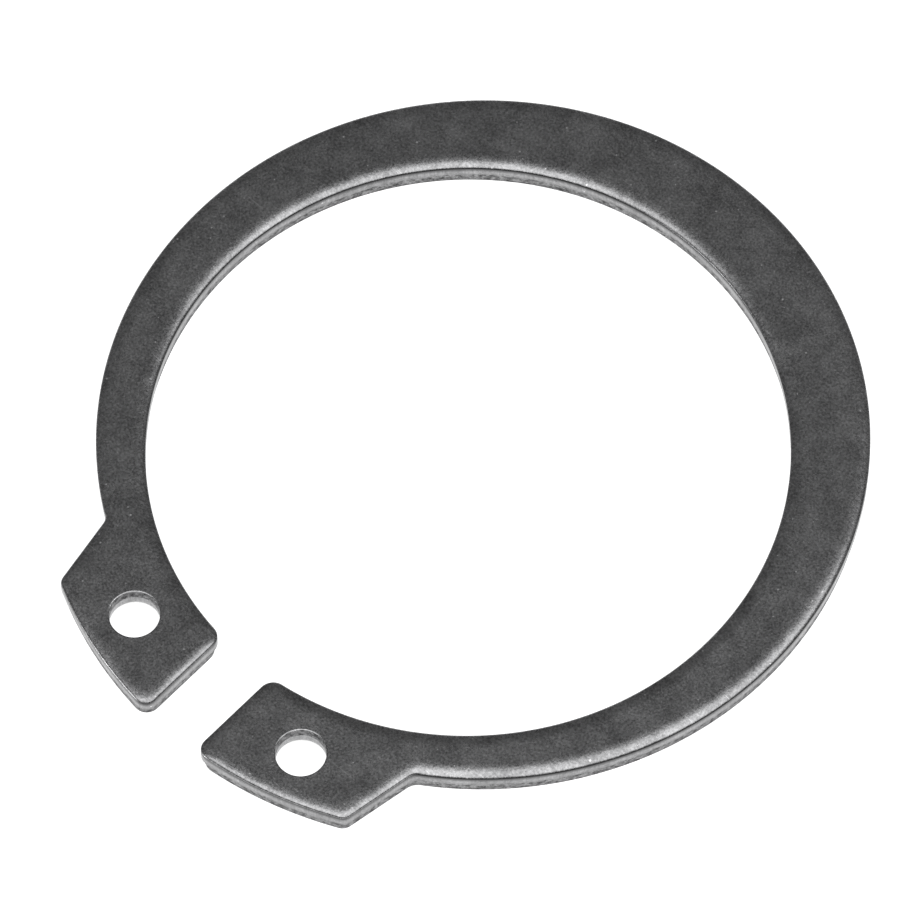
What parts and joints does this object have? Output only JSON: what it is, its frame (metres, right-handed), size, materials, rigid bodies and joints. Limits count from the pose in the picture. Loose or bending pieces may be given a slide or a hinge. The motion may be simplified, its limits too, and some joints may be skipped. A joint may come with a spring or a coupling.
{
  "type": "external retaining ring",
  "caption": "Flat open spring-steel ring that tapers towards its gap and ends in two lugs with plier holes. It springs into a groove on a shaft to hold a bearing or hub in place.",
  "frame": {"origin": "on the bore's axis, midway through the strip", "axes": "+Z through the strip, from the burr side to the die-roll side; -Y from the bore's axis through the middle of the gap"},
  "size_m": [0.0386, 0.0419, 0.0016],
  "materials": {
    "ring_steel": "dark phosphated and oiled, satin, with brighter burnished edges"
  },
  "bodies": {
    "root": {"retaining_ring": "ring_steel"}
  },
  "joints": []
}
